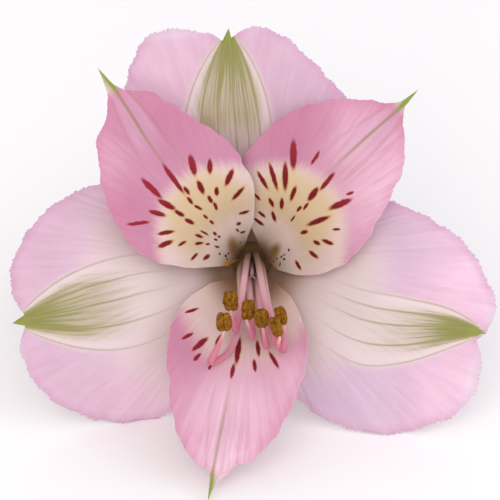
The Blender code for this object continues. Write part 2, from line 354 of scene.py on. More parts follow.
# claw is the claw's direction round the throat in degrees, fall how far the anticlockwise and
# the clockwise side bend back. An outline runs from the tip down each side, in mm. fan is the
# vein fan's half width on each side, bow its bend and veins the veins in each half. Outer: pale
# is where the pale middle is full and ends, in mm from the throat, fillFrom and greenFrom where
# tan and green begin and are full, as shares of the midrib, fanFill the tan's strength. Inner:
# whiteEnd is where the white middle ends at the midrib and at the sides, soft half the width of
# that change, cream and midrib the strength of the cream and the midrib's vein. shade is the
# depths at which the throat's brown begins and is full; that brown is partly the claws' own
# colour and partly painted shade. The two lists of soft clouds lay the look's tints of the same
# names, x, y, reach and strength: the lighter one is painted light, and the second is painted
# shade on the outer petals and a darker pink on the inner ones.
petals = dict(
    outerTepalTop=dict(
        outerForm, node="outer_tepal_top", claw=90, fall=(3, 3), tip=(-3.5, 35),
        anticlockwise=[
            (-4.4, 33.1), (-6.8, 34.4), (-12.6, 35), (-16.4, 33.2),
            (-18.8, 27.5), (-19.8, 21), (-16.5, 13.5),
        ],
        clockwise=[
            (-3.1, 33.4), (-1.1, 35), (1.8, 35.2), (5.4, 33.4), (10.4, 28.8),
            (14.7, 23.6), (15.2, 18.5), (12, 11.5),
        ],
        fan=(7.7, 5.4), veins=3, greenFrom=(0.56, 1), fillFrom=(0.4, 0.72), fanFill=1, pale=(10, 20),
        lighter=[(-14, 29, 8, 0.5)], second=[(8, 22, 7, 0.3)],
    ),
    outerTepalLeft=dict(
        outerForm, node="outer_tepal_left", claw=210, fall=(8.6, 3), tip=(-35.9, -9.2),
        anticlockwise=[
            (-33.9, -9.5), (-34.8, -12.9), (-33.3, -17.1), (-30.2, -20.7), (-26.4, -22.8),
            (-21, -24.2), (-15, -23.9), (-9.3, -20), (-6.5, -14.5),
        ],
        clockwise=[
            (-34, -7.9), (-35.4, -6), (-36.3, -1.8), (-33.8, 4.4), (-28.8, 9.3),
            (-22.4, 11.9), (-17, 11.5), (-11.5, 8.2),
        ],
        fan=(7.3, 6.1), greenFrom=(0.53, 1), fanFill=0.85, pale=(14, 34),
        lighter=[(-14, -20, 8.5, 0.9), (-19, 3, 7, 0.9)],
        second=[(-23, 7, 8, 0.3), (-24, -12, 8, 0.25)],
    ),
    outerTepalRight=dict(
        outerForm, node="outer_tepal_right", claw=330, fall=(3, 5.7), tip=(35, -10.7),
        anticlockwise=[
            (36.1, -8.9), (36.7, -6.2), (35.3, -2.7), (32.3, 2.4), (27.3, 6.2),
            (20.6, 9.2), (15.5, 8.8), (11, 6),
        ],
        clockwise=[
            (33.6, -11.7), (34.5, -14.7), (33.9, -18.8), (30.9, -22.7), (26.6, -24.5),
            (20.3, -26), (12.2, -24.2), (6.5, -20.3), (3.8, -14.5),
        ],
        fan=(4.4, 6.5), bow=-3.4, greenFrom=(0.62, 0.93), fanFill=0.6, pale=(12, 27),
        lighter=[(34, -2, 9, 0.9), (30, -20, 9, 0.8)],
        second=[(12, -20, 11, 0.7), (19, 5, 9, 0.6)],
    ),
    innerTepalLeft=dict(
        innerForm, node="inner_tepal_left", claw=150, fall=(1.5, 0), setBack=-2, tip=(-22.8, 29),
        anticlockwise=[
            (-21.6, 25.2), (-21.6, 21.3), (-23, 18.5), (-22.5, 12.5), (-21.4, 8.3),
            (-18.9, 3.5), (-15.6, 0.6), (-10.5, -0.8), (-6.4, -0.8), (-3.8, -0.6),
        ],
        clockwise=[
            (-20.7, 26.3), (-17.6, 25.5), (-14.4, 24.9), (-7.7, 20.7), (-3.3, 17.7),
            (0, 12.3), (0.5, 9.5), (0.2, 6.3),
        ],
        bow=1.3, midrib=0.75,
        lighter=[(-21, 15, 4, 0.3)], second=[(-13, 21, 7, 0.4), (-18, 8, 5, 0.4)],
    ),
    innerTepalRight=dict(
        innerForm, node="inner_tepal_right", claw=30, fall=(0, 1.5), setBack=0.3, tip=(24.8, 25.7),
        anticlockwise=[
            (22.7, 24.2), (21.2, 23.7), (17.7, 24), (14.1, 24.3), (8.4, 23.4), (3.1, 20.5),
            (-0.8, 16.3), (-1.6, 12.8), (-1, 7.5),
        ],
        clockwise=[
            (23.2, 23.7), (22.6, 22.5), (22.6, 18.8), (22.6, 14.3), (20, 8.4), (16.2, 2),
            (11.7, -1.4), (6.9, -2), (4, -1.2),
        ],
        bow=1, midrib=0.7,
        lighter=[(20, 11, 9, 0.7), (15, 18, 6, 0.7)],
        second=[(7, 20, 7, 0.6), (23, 23, 3, 0.5)],
    ),
    innerTepalLower=dict(
        innerForm, node="inner_tepal_lower", claw=270, rise=33.5, fall=(1, 1), tip=(-6.7, -35.6),
        anticlockwise=[
            (-5.4, -32.9), (-3.9, -31.6), (-2.4, -30.3), (0.6, -29), (4.2, -24.8), (7.4, -17.7),
            (8.3, -11.6), (6.2, -5.9), (3.6, -3.2),
        ],
        clockwise=[
            (-6.2, -32.9), (-6.5, -31.3), (-9.8, -28.1), (-11.9, -22.5), (-12.3, -18), (-12.6, -12),
            (-10.4, -6.3), (-6.4, -3.3),
        ],
        fan=(2.2, 2.2), bow=0.2, whiteEnd=(15.5, 11.5), soft=5.5, cream=0.15, midrib=0.55, shade=(-5, -16),
        lighter=[(-3, -22, 8, 0.8), (5, -18, 6, 0.55), (-4, -29.5, 6.5, 1)],
        second=[(-10.5, -14, 5, 0.35)],
    ),
)


# One side of the outline from the tip down. A notched tip keeps its point and the corner after it.
def outlineHalf(petal, side, count):
    points = [petal["tip"], *petal[side]]
    if not petal["notched"]:
        return evenly(smoothCurve(points), count)
    return evenly(np.vstack([smoothCurve(points[:2])[:-1], smoothCurve(points[1:])]), count)


# Fine teeth of uneven pitch and depth: straight flanks between random valleys and peaks
def toothEdge(along, depth, chance):
    pitch = chance.uniform(*petalForm["toothPitch"], petalForm["toothCount"])
    valleys = np.cumsum(pitch) + petalForm["toothStart"]
    peaks = valleys + pitch * chance.uniform(0.2, 0.8, len(pitch))
    knots = np.stack([valleys, peaks], axis=1).ravel()
    heights = np.stack([-chance.uniform(0, 0.5, len(pitch)), chance.uniform(0, 1, len(pitch))], axis=1)
    return depth * (np.interp(along, knots, heights.ravel()) - 0.25)


# The whole outline, clockwise end to anticlockwise end, with its teeth and scallops. place runs
# from -1 at the clockwise end to 1 at the other.
def petalOutline(petal, chance):
    count = petal["columns"] // 2 + 1
    right, rightAt = outlineHalf(petal, "clockwise", count)
    left, leftAt = outlineHalf(petal, "anticlockwise", count)
    edge = np.vstack([right[:0:-1], left])
    along = np.concatenate([-rightAt[:0:-1], leftAt])
    forward = unit(np.gradient(edge, axis=0))
    outward = np.stack([forward[:, 1], -forward[:, 0]], axis=1)
    fromTip = np.abs(along)
    fromClaw = np.where(along < 0, rightAt[-1], leftAt[-1]) - fromTip
    atTip, atClaw = petalForm["noTeeth"]
    toothed = smoothStep(*atTip, fromTip) * smoothStep(*atClaw, fromClaw)
    turns = 2 * math.pi * along
    long, short = petalForm["scallopPitches"]
    scallops = np.sin(turns / long + chance.uniform(0, 6))
    scallops += 0.7 * np.sin(turns / short + chance.uniform(0, 6))
    step = toothEdge(along, petal["teeth"], chance) + petal["scallops"] * scallops
    return edge + outward * (step * toothed)[:, None], np.linspace(-1, 1, len(along))


# Height over the face. Funnel: rise times one minus e to the minus distance over spread. From it
# go the set back, the fall of each side, which grows with the square, and of the end, with the
# fourth power.
def petalHeight(petal, x, y):
    radius = np.hypot(x, y)
    out = radius - petal["clawRadius"]
    funnel = petal["rise"] * (1 - np.exp(-out / petal["spread"]))
    sink = petal["setBack"] * (1 - np.exp(-out / petalForm["setBackReach"]))
    tipX, tipY = unit(np.array(petal["tip"]))
    across = tipX * y - tipY * x
    fall = np.where(across > 0, petal["fall"][0], petal["fall"][1])
    sideFall = fall * (across / petalForm["sideReach"]) ** 2
    endFall = petal["tipFall"] * (radius / petalForm["faceReach"]) ** 4
    return funnel - sink - sideFall - endFall - flowerFace["tubeDepth"]


# Points across the face. Each column leaves the claw at its share of the claw's width, turns
# towards its point of the outline and reaches it in rows that stand closer near the claw. fan is
# the angle at which each column ends, as a length in mm across the margin.
def petalGrid(petal, edge, place):
    startRadius = petal["clawRadius"]
    claw = math.radians(petal["claw"])
    startAngle = place * petalForm["clawHalfWidth"] / startRadius
    endRadius = np.hypot(edge[:, 0], edge[:, 1])
    endAngle = (np.arctan2(edge[:, 1], edge[:, 0]) - claw + math.pi) % (2 * math.pi) - math.pi
    # A least step between the columns, so that none crosses another
    least = petalForm["leastStep"] * np.ptp(endAngle) / len(endAngle) * np.arange(len(endAngle))
    pushedOn = np.maximum.accumulate(endAngle - least)
    pushedBack = np.minimum.accumulate((endAngle - least)[::-1])[::-1]
    endAngle = (pushedOn + pushedBack) / 2 + least
    share = np.linspace(0, 1, petalForm["rows"] + 1)[:, None] ** petalForm["rowCrowding"]
    radius = startRadius + (endRadius - startRadius) * share
    opened = 1 - np.exp(-(radius - startRadius) / petalForm["clawLength"])
    angle = claw + startAngle + (endAngle - startAngle) * opened / opened[-1]
    return radius * np.cos(angle), radius * np.sin(angle), endAngle * petalForm["faceReach"]


# Vein coordinates. t is the share of the way to the tip along the midrib, v the share of the vein
# fan's half width, which swells and closes again as t to the 1.2 times (1 - t), 0.22 at its most.
def veinPlace(petal, x, y, seed):
    tip = np.array(petal["tip"])
    tipX, tipY = unit(tip)
    t = np.clip((x * tipX + y * tipY) / np.linalg.norm(tip), 0, petalForm["tipEnd"])
    across = tipX * y - tipY * x - petal["bow"] * np.sin(math.pi * t) ** 2
    stray = petalForm["stray"] * lumps(np.stack([x, y], -1), petalForm["strayPitch"], seed + 2)
    across = across + np.sin(math.pi * t) * stray
    width = np.where(across > 0, petal["fan"][0], petal["fan"][1])
    width = width * ((1 - t) * t**1.2 / 0.22 + 0.015)
    return t, across, across / width, width


def edgeDistance(x, y, edge):
    gap = np.empty_like(x)
    for row in range(len(x)):
        gap[row] = np.sqrt(((x[row, :, None] - edge[:, 0]) ** 2 + (y[row, :, None] - edge[:, 1]) ** 2).min(1))
    return gap


# Height of the blade's own relief: slow waves, a ruffled margin, a channel along the midrib,
# raised veins and fine pleats that fan out to the margin
def petalRelief(petal, x, y, fan, gap, t, across, v, seed):
    radius = np.hypot(x, y)
    waves = petal["waves"] * lumps(np.stack([x, y], -1), petalForm["wavePitch"], seed)
    turns = 2 * math.pi * fan[None]
    short, long = petalForm["rufflePitches"]
    ruffle = petal["ruffle"] * np.sin(turns / short + seed) * (0.6 + 0.4 * np.sin(turns / long + seed * 2))
    ruffle = ruffle * np.exp(-gap / petalForm["ruffleReach"])
    channel = petal["channel"] * np.exp(-(across / petalForm["channelReach"]) ** 2) * smoothStep(1, 0.85, t)
    ribs = (0.5 + 0.5 * np.cos(2 * math.pi * v * petal["veins"])) ** 4 * smoothStep(1.25, 1, np.abs(v))
    pleats = lumps(np.broadcast_to(fan[None, :, None], (*x.shape, 1)), petalForm["pleatPitch"], seed + 1)
    pleats = pleats * smoothStep(12, 24, radius) * smoothStep(0.8, 1.3, np.abs(v))
    relief = waves + ruffle - channel + petalForm["ribHeight"] * ribs + petalForm["pleatHeight"] * pleats
    return relief * smoothStep(7, 15, radius)


# Soft round clouds of a tint, each falling off as e to the minus square of distance over reach
def clouds(x, y, patches):
    strength = np.zeros_like(x)
    for atX, atY, reach, most in patches:
        strength = np.maximum(strength, most * np.exp(-((x - atX) ** 2 + (y - atY) ** 2) / reach**2))
    return strength


# The sheet to both sides of the middle surface, thicker in from the margin and in the green
# point, with a keel behind the midrib
def petalSheet(petal, x, y, z, gap, t, across):
    step = 0.1
    slopeX = petalHeight(petal, x + step, y) - petalHeight(petal, x - step, y)
    slopeY = petalHeight(petal, x, y + step) - petalHeight(petal, x, y - step)
    normal = unit(np.stack([-slopeX, -slopeY, np.full_like(x, 2 * step)], axis=-1))
    point = smoothStep(0.86, 0.95, t) * np.exp(-(across / 1.1) ** 2)
    margin, inside = petalForm["marginThickness"], petalForm["middleThickness"]
    thick = margin + (inside - margin) * smoothStep(0, 3, gap) + petalForm["pointThickness"] * point
    thick = thick * (0.25 + 0.75 * smoothStep(petalForm["tipEnd"], 0.96, t))
    keel = petalForm["keelThickness"] * np.exp(-(across / 0.9) ** 2) * smoothStep(0, 2, gap + 1.5 * point)
    middle = np.stack([x, y, z], axis=-1)
    front = faceToWorld(middle + normal * (thick / 2)[..., None])
    back = faceToWorld(middle - normal * (thick / 2 + keel)[..., None])
    frontGap, backGap, rimGap = petalForm["floorGaps"]
    front[..., 2] = np.maximum(front[..., 2], frontGap * mm)
    back[..., 2] = np.maximum(back[..., 2], backGap * mm)
    points, faces, border = closedSheet(front, back)
    points[:, 2] = np.maximum(points[:, 2], rimGap * mm)
    return points, faces, border


# Where a petal is pale, filled, green, veined and banded, from 0 to 1. Ranges are shares of the
# midrib for t and of the fan's half width for off, and mm for radius, across and side.
def outerZones(petal, radius, t, across, off):
    inFan = smoothStep(1.35, 0.85, off) * smoothStep(0.22, 0.45, t)
    pale = np.maximum(smoothStep(*petal["pale"][::-1], radius), 0.75 * inFan)
    fill = petal["fanFill"] * inFan * smoothStep(*petal["fillFrom"], t) * smoothStep(1.15, 0.45, off)
    green = smoothStep(*petal["greenFrom"], t) * smoothStep(1.1, 0.4, off)
    veins = 0.85 * inFan * smoothStep(0.18, 0.8, t) * smoothStep(2.3, 0.4, off) * smoothStep(0.99, 0.92, t)
    band = smoothStep(0.88, 1, t) * smoothStep(1.1, 0.6, off)
    return pale, fill, green, veins, band


def innerZones(petal, radius, t, across, off):
    side = np.abs(across)
    atMidrib, atSides = petal["whiteEnd"]
    whiteEnd = atMidrib + (atSides - atMidrib) * np.clip(side / 11, 0, 1) ** 2
    pale = smoothStep(whiteEnd + petal["soft"], whiteEnd - petal["soft"], radius)
    pale = np.maximum(pale, 0.8 * smoothStep(0.84, 0.93, t))
    fill = smoothStep(whiteEnd + 2, whiteEnd - 3.5, radius) * smoothStep(5, 10.5, radius)
    fill = petal["cream"] * fill * smoothStep(10, 3.5, side)
    core = np.exp(-(across / 0.35) ** 2) * smoothStep(1, 0.97, t)
    green = smoothStep(0.81, 0.93, t) * smoothStep(1.6, 0.6, side) * (0.5 + 0.5 * core)
    veins = petal["midrib"] * smoothStep(0.42, 0.72, t) * (0.3 + 0.7 * smoothStep(0.7, 0.4, off))
    veins = veins * smoothStep(0.93, 0.84, t) * smoothStep(1.4, 1.2, off)
    band = 0.7 * petal["midrib"] * smoothStep(1.2, 0.6, off) * smoothStep(0.48, 0.7, t) * (1 - green)
    return pale, fill, green, veins, band


def makePetal(name, petal, material, seed):
    edge, place = petalOutline(petal, np.random.default_rng(seed))
    x, y, fan = petalGrid(petal, edge, place)
    gap = edgeDistance(x, y, np.stack([x[-1], y[-1]], axis=-1))
    t, across, v, width = veinPlace(petal, x, y, seed)
    z = petalHeight(petal, x, y) + petalRelief(petal, x, y, fan, gap, t, across, v, seed)
    points, faces, border = petalSheet(petal, x, y, z, gap, t, across)

    zones = outerZones if petal["notched"] else innerZones
    radius = np.hypot(x, y)
    pale, fill, green, veins, band = zones(petal, radius, t, across, np.abs(v))
    grids = dict(
        ribs=(v * petal["veins"], width / petal["veins"], t),
        rims=(gap, 0, fan),
        zones=(pale, fill, green),
        # veil's first part is the throat's brown, partly the claws' own colour and partly painted shade
        veil=(smoothStep(*petal["shade"], z), veins, band),
        # wash: the clouds of painted light, the second clouds (painted shade on the outer petals) and where
        # the fine lines show
        wash=(clouds(x, y, petal["lighter"]), clouds(x, y, petal["second"]), smoothStep(10, 26, radius)),
    )
    fields = {}
    for key, parts in grids.items():
        flat = [np.broadcast_to(part, t.shape).ravel() for part in parts]
        fields[key] = [np.concatenate([part, part, part[border]]) for part in flat]
    fields["rims"][1] = np.repeat([0, 1, 0], [t.size, t.size, len(border)])     # marks the back
    makePiece(name, points, faces, material, petal["node"], fields)


# Marks on the inner petals: x, y, length, width in mm and direction in degrees
leftMarks = [
    (-8.9, 14.5, 3.1, 1.05, 104), (-6.3, 14.3, 2.2, 0.81, 90), (-3.4, 12.7, 2.6, 0.81, 65),
    (-2.1, 10.3, 2.5, 0.6, 47), (-7.7, 11.2, 2.1, 0.81, 114), (-5.3, 10.6, 1.3, 0.64, 90),
    (-6.3, 9.4, 1.2, 0.57, 122), (-5.5, 8.4, 1.2, 0.53, 111), (-9.8, 10.7, 1.4, 0.57, 124),
    (-9.3, 9.2, 1.3, 0.53, 131), (-8.1, 8.2, 1.3, 0.48, 154), (-7, 6.8, 0.9, 0.38, 135),
    (-6.1, 6, 0.8, 0.38, 135), (-9.4, 6.1, 1.5, 0.57, 155), (-7.2, 4.4, 1.3, 0.33, 148),
    (-8, 3.9, 1.2, 0.45, 162), (-5.6, 4.3, 0.6, 0.38, 135), (-5, 3.8, 0.4, 0.38, 135),
    (-5.5, 3.4, 0.5, 0.3, 158), (-1.2, 7.5, 1.5, 0.43, 18), (-2, 5.8, 0.7, 0.45, 22),
    (-2.2, 4.8, 0.6, 0.3, 135), (-1.4, 4.5, 0.7, 0.3, 17), (-15, 11, 4.1, 0.9, 136),
    (-11.8, 12.5, 5.2, 0.75, 126), (-12.8, 8.6, 2.8, 0.9, 152), (-10.9, 7.3, 1.6, 0.6, 150),
    (-14.2, 7.3, 2.5, 0.75, 164), (-17, 5.8, 3.3, 0.6, 7), (-12.9, 4.4, 2.4, 0.6, 11),
    (-13, 2.7, 2.3, 0.75, 23), (-10.5, 2.8, 1.3, 0.45, 30), (-8, 2.8, 1.2, 0.43, 9),
    (-6.7, 2.7, 0.6, 0.3, 0), (-5.3, 2.3, 0.7, 0.3, 163), (-8.7, 0.8, 1.4, 0.45, 46),
    (-6.9, 0.7, 1.1, 0.57, 40), (-4.9, 1.2, 0.4, 0.3, 90), (-4, 0.9, 0.4, 0.3, 90),
    (-3.6, 1.3, 0.3, 0.3, 90), (-3.8, 0.4, 0.3, 0.24, 90), (-1.8, 3, 0.3, 0.24, 90),
]
rightMarks = [
    (6.2, 16.1, 4.3, 1.05, 90), (9.5, 15.6, 2.4, 0.53, 58), (5, 12.9, 4, 0.84, 90),
    (3.2, 12.9, 4, 0.67, 107), (1.6, 12.3, 3, 0.6, 121), (11.3, 12.1, 3.3, 0.72, 51),
    (9.2, 10.2, 2.3, 0.9, 54), (6.2, 10.3, 2.2, 0.67, 70), (4.5, 8.8, 1.6, 0.6, 90),
    (2.9, 9, 1.5, 0.53, 117), (7.1, 8, 1, 0.48, 49), (8.1, 8.4, 1.2, 0.45, 53),
    (0.8, 9.8, 1.2, 0.38, 132), (1.5, 7.2, 1.3, 0.45, 141), (1, 6.1, 1.8, 0.45, 145),
    (3.3, 6.9, 1.6, 0.53, 108), (6.2, 6.6, 1.1, 0.3, 54), (13.3, 8.7, 3.5, 0.97, 24),
    (14.7, 10.3, 1.2, 0.45, 24), (10, 6.2, 3.4, 0.75, 21), (7.9, 4.5, 1.1, 0.6, 17),
    (12.7, 4.9, 1.1, 0.38, 0), (9.8, 2.9, 1.1, 0.6, 151), (11.4, 3, 1.7, 0.6, 159),
    (9.3, 1.1, 1.6, 0.53, 140), (7, -0.5, 1.5, 0.45, 119), (5.6, 1.8, 0.4, 0.3, 90),
    (4.9, 0.4, 0.4, 0.3, 90), (4.3, -0.4, 0.5, 0.2, 90), (3.8, 0.5, 0.4, 0.21, 45),
    (4.5, 0.8, 0.4, 0.21, 45), (3.3, 0.1, 0.4, 0.21, 45), (4.9, 1.1, 0.3, 0.18, 45),
]
lowerMarks = [
    (-9.1, -7.3, 2, 0.45, 17), (-9.7, -11.1, 1.9, 0.57, 27), (-7.8, -12.3, 2.9, 0.82, 40),
    (-8.2, -14.2, 1.5, 0.6, 45), (-5, -11.7, 1.8, 0.6, 59), (-2.1, -13.3, 3.8, 0.82, 82),
    (-2.9, -16.3, 2.2, 0.6, 78), (-6.2, -15.6, 1.1, 0.45, 59), (0.9, -13, 2.3, 0.6, 97),
    (0.4, -15.5, 1.8, 0.57, 96), (3.3, -14.7, 2.7, 0.6, 121),
]

# Petal tissue: thin, moist and soft, grown in long cells. It gives the eye a soft matte sheen with
# a little light coming through, fine lines that run to the margin, and pigment that ends unevenly.
tissueForm = dict(
    lineScale=(0.9, 0.1, 1),  # across and along the fine lines, 0.7 mm apart at the margin
    streakScale=(6.5, 3, 1),  # across one vein's space, and along the whole midrib
    cloudScale=0.24,          # pigment clouds 4 mm wide
    cellScale=2.8,            # cells of 0.35 mm, coarser than real ones, so that they show
    nearThroat=(11, 4.5),     # where the painted light near the throat begins and is full, mm from the throat
    veinEdge=0.04, rimWidth=1.6,
    roughness=0.52, ior=1.4, specular=0.35, bump=(0.4, 0.06), inside=(0.5, (1, 0.7, 0.8), 0.8),
)
# pale is the middle and fill what lies between the veins. The tone for the tissue near the throat
# is painted light, which lightens the throat's shade. band is a stripe on the midrib, brown the
# deep throat, partly its own colour and partly painted shade, and back the petal's back. The
# lighter tint is painted light, the second painted shade on the outer petals and a darker pink on
# the inner ones. Widths are in mm.
outerLook = dict(
    base="#d5b9c8", deep="#c79cb6", lighter="#eccbdc", second="#cbbdd0", pale="#dccfcd", near="#efe3de",
    fill="#aa9e78", band="#8f9c40", green="#8d8c4a", vein="#98915c", brown="#b0927c", back="#d4bcc2",
    veinWidth=0.25, lineContrast=0.28, streakContrast=0.35, raggedGreen=0.5, rimDepth=0.45,
)
innerLook = dict(
    base="#ca94ac", deep="#b97592", lighter="#eccbd8", second="#b96e8d", pale="#dec9c3", near="#f4e2d8",
    fill="#d5c19a", band="#cda6be", green="#89993d", vein="#967e52", brown="#b08d70", back="#c990a8",
    veinWidth=0.4, lineContrast=0.36, streakContrast=0.15, raggedGreen=0.2, rimDepth=0.2,
)
markLook = dict(inner="#760c17", outer="#94192f", halo="#d9a35a", unevenness=0.24, wobbleScale=1.5)


# Marks: the least of all distances to a mark, where 1 is its edge, its outline made uneven
def markLayers(add, marks, place, onBack, pale):
    wobble = add("TexNoise", {0: place, "Scale": markLook["wobbleScale"], "Detail": 2}, 1)
    wobble = add("VectorMath", {0: wobble, 1: (-0.5, -0.5, -0.5)}, operation="ADD")
    uneven = add("VectorMath", {
        0: wobble, 1: (markLook["unevenness"],) * 3, 2: place}, **timesPlus)
    nearest = ovalReach(add, uneven, *marks[0])
    for mark in marks[1:]:
        nearest = add("Math", {0: nearest, 1: ovalReach(add, uneven, *mark)}, operation="MINIMUM")
    shown = add("Math", {0: onBack, 1: -0.8, 2: 1}, **timesPlus)
    halo = add("MapRange", {0: nearest, 1: 1.6, 2: 1, 4: 0.6}, **eased)
    halo = add("Math", {0: halo, 1: pale}, **times)
    core = add("MapRange", {0: nearest, 1: 1.25, 2: 0.78}, **eased)
    redder = add("MapRange", {0: pale, 1: 1, 2: 0.1})
    tone = layered(add, markLook["inner"], [(redder, markLook["outer"])])
    return [
        (add("Math", {0: halo, 1: shown}, **times), markLook["halo"]),
        (add("Math", {0: core, 1: shown}, **times), tone),
    ]


def petalTissue(name, look, marks=(), spots=()):
    material, add = newMaterial(name)
    ribs, rims, zones, veil, wash = (
        fieldParts(add, key) for key in ("ribs", "rims", "zones", "veil", "wash"))
    facePlace = add("Mapping", {
        0: add("TexCoord", out="Object"), 1: [value * mm for value in flowerFace["throat"]],
        2: (faceTurn, 0, 0), 3: (mm, mm, depthless),
    }, vector_type="TEXTURE")

    # Fine lines from the veins to the margin
    lines = add("CombineXYZ", {0: rims[2], 1: rims[0], 2: rims[1]})
    lines = add("VectorMath", {0: lines, 1: tissueForm["lineScale"]}, **times)
    lines = add("TexNoise", {0: lines, "Scale": 1, "Detail": 4, "Roughness": 0.62})
    lines = add("MapRange", {0: lines, 1: 0.32, 2: 0.68}, **eased)
    cloudy = add("TexNoise", {
        0: facePlace, "Scale": tissueForm["cloudScale"], "Detail": 3, "Roughness": 0.55})
    cells = add("TexNoise", {0: facePlace, "Scale": tissueForm["cellScale"], "Detail": 2})
    # Painted light on the pale tissue near the throat, which lightens the throat's shade
    near = add("VectorMath", {0: facePlace}, 1, operation="LENGTH")
    begins, full = tissueForm["nearThroat"]
    near = add("MapRange", {0: near, 1: begins, 2: full}, **eased)
    near = add("Math", {0: near, 1: zones[0]}, **times)

    # Veins: distance to the nearest whole number of the vein coordinate, in mm
    toVein = add("Math", {0: ribs[0], 1: 0.5}, operation="PINGPONG")
    toVein = add("Math", {0: toVein, 1: ribs[1]}, **times)
    veins = add("MapRange", {0: toVein, 1: look["veinWidth"], 2: tissueForm["veinEdge"]}, **eased)
    veins = add("Math", {0: veins, 1: veil[1]}, **times)
    # Finer streaks between the veins, closest together towards the tip
    streaks = add("CombineXYZ", {0: ribs[0], 1: ribs[2]})
    streaks = add("VectorMath", {0: streaks, 1: tissueForm["streakScale"]}, **times)
    streaks = add("TexNoise", {0: streaks, "Scale": 1, "Detail": 3, "Roughness": 0.6})
    streaks = add("MapRange", {0: streaks, 1: 0.42, 2: 0.62}, **eased)

    # Each colour ends jagged along the fine lines, and the green along the streaks
    ragged = look["raggedGreen"]
    jag = add("Math", {0: lines, 1: 0.2, 2: -0.1}, **timesPlus)
    greenJag = add("Math", {0: streaks, 1: 0.5 * ragged, 2: -0.3 * ragged}, **timesPlus)
    jagged = {}
    for key, mask in (("pale", zones[0]), ("fill", zones[1]), ("band", veil[2]), ("green", zones[2])):
        moved = add("Math", {0: mask, 1: greenJag if key == "green" else jag}, operation="ADD")
        jagged[key] = add("MapRange", {0: moved, 1: 0.14, 2: 0.86}, **eased)
    contrast = look["streakContrast"]
    streaked = add("Math", {0: streaks, 1: contrast, 2: 1 - contrast}, **timesPlus)
    for key in ("fill", "band"):
        jagged[key] = add("Math", {0: jagged[key], 1: streaked}, **times)
    rim = add("MapRange", {0: rims[0], 1: tissueForm["rimWidth"], 2: 0, 4: look["rimDepth"]}, **eased)
    shownLines = add("Math", {0: lines, 1: wash[2]}, **times)
    deepening = add("Math", {0: shownLines, 1: cloudy}, **times)
    deepening = add("Math", {0: deepening, 1: 2 * look["lineContrast"], 2: rim}, **timesPlus)
    behind = add("Math", {0: rims[1], 1: 0.35}, **times)
    # Among the layers, the lighter clouds are painted light and the second clouds painted shade on the outer
    # petals; the tone near the throat is painted light, and the brown partly painted shade.
    layers = [
        (cloudy, look["deep"]), (0.7, look["base"]),
        (wash[0], look["lighter"]), (wash[1], look["second"]), (deepening, look["deep"]),
        (jagged["pale"], look["pale"]), (near, look["near"]), (jagged["fill"], look["fill"]),
        (jagged["green"], look["green"]), (jagged["band"], look["band"]), (veins, look["vein"]),
    ]
    if marks:
        layers += markLayers(add, marks, facePlace, rims[1], zones[0])
    layers += [(veil[0], look["brown"]), (behind, look["back"])]
    for *oval, soft, tone in spots:
        reach = ovalReach(add, facePlace, *oval)
        layers.append((add("MapRange", {0: reach, 1: 1 + soft, 2: 1 - soft}, **eased), tone))

    height = add("Math", {0: cells, 1: 0.5, 2: shownLines}, **timesPlus)
    height = add("Math", {0: veins, 1: -0.8, 2: height}, **timesPlus)
    shaded(add, tissueForm, layered(add, look["base"], layers), height)
    return material


# Soft dark grooves beside each claw and the orange rims below them: x, y, length, width,
# direction, softness, colour. The grooves' olive is partly the claws' own colour and partly
# painted shade.
leftSpots = [(-2.9, 2.4, 2.6, 1.5, 100, 0.7, "#b3935a"), (-3.1, -0.15, 3, 0.9, 8, 0.3, "#ffc864")]
rightSpots = [(3.5, 1.7, 2.2, 1.3, 60, 0.7, "#ac8b4e"), (3.6, -0.9, 1.1, 0.6, 0, 0.3, "#ffcc6c")]

outerTissue = petalTissue("outer petal tissue", outerLook)
tissues = dict(
    outerTepalTop=outerTissue,
    outerTepalLeft=outerTissue,
    outerTepalRight=outerTissue,
    innerTepalLeft=petalTissue("left inner petal tissue", innerLook, leftMarks, leftSpots),
    innerTepalRight=petalTissue("right inner petal tissue", innerLook, rightMarks, rightSpots),
    innerTepalLower=petalTissue("lower inner petal tissue", innerLook, lowerMarks),
)
for number, (name, petal) in enumerate(petals.items(), start=1):
    makePetal(name, petal, tissues[name], seed=number)
print("petals made")


# Stamens

# Lengths are in mm. flattened is how much wider than deep a filament is. bundleTop and fanFrom are
# the heights where the bundle ends and where it is seen to part, fanned the share of the way to
# the hook across the face at three places, and underHook the depth under the hook at the last
# two. An anther leans out of the face by antherPitch degrees. Its seam and notches are shares of
# its half width, thickness and length. grains and bend are heights and sizes of lumps.
stamenForm = dict(
    filamentRadius=0.46, footRadius=0.2, filamentRings=110, filamentSides=20, flattened=0.1, gap=0.3,
    bundleRadius=1.25, bundleTop=-17, fanFrom=-11, fanned=(0.12, 0.55, 0.88), underHook=(4.6, 1.5),
    antherThickness=1.6, antherSwell=1.05, antherPitch=25, antherRings=84, antherSides=96,
    seamWidth=0.26, seamDepth=0.2, notchDepth=0.09, grains=((0.05, 0.8), (0.05, 0.24)), bend=(0.08, 2.6),
)

